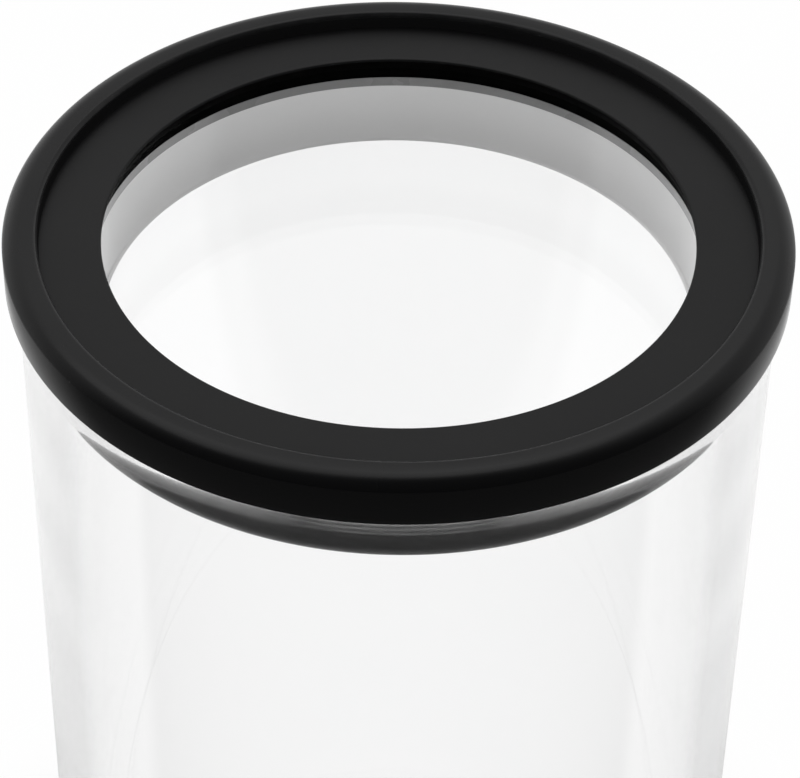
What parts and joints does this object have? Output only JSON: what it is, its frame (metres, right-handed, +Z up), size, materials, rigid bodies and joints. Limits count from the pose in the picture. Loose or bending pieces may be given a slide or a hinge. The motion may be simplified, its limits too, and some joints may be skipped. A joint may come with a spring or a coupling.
{
  "type": "vacuum seal canister",
  "caption": "Straight clear round food canister with a press-down black lid ring, a recessed clear window and a soft ribbed seal.",
  "frame": {"origin": "centre of the foot, on the surface the canister stands on", "axes": "+Z up along the canister's axis, towards the lid; -Y towards the viewer"},
  "size_m": [0.112, 0.112, 0.188],
  "materials": {
    "clear_jar": "clear polished moulded jar",
    "soft_black": "smooth soft-touch black",
    "matt_black": "fine-grained matt black",
    "seal_silicone": "satin black silicone",
    "clear_window": "clear floor, satin side wall"
  },
  "bodies": {
    "canister": {"canister_body": "clear_jar"},
    "lid": {"grip_ring": "soft_black", "lid_frame": "matt_black", "lip_seal": "seal_silicone", "window_gasket": "seal_silicone", "window_cup": "clear_window", "retaining_ring": "matt_black"}
  },
  "joints": [
    {"name": "lid_lift", "type": "slide", "parent": "canister", "child": "lid", "axis": [0, 0, 1], "range_m": [0, 0.12]}
  ]
}
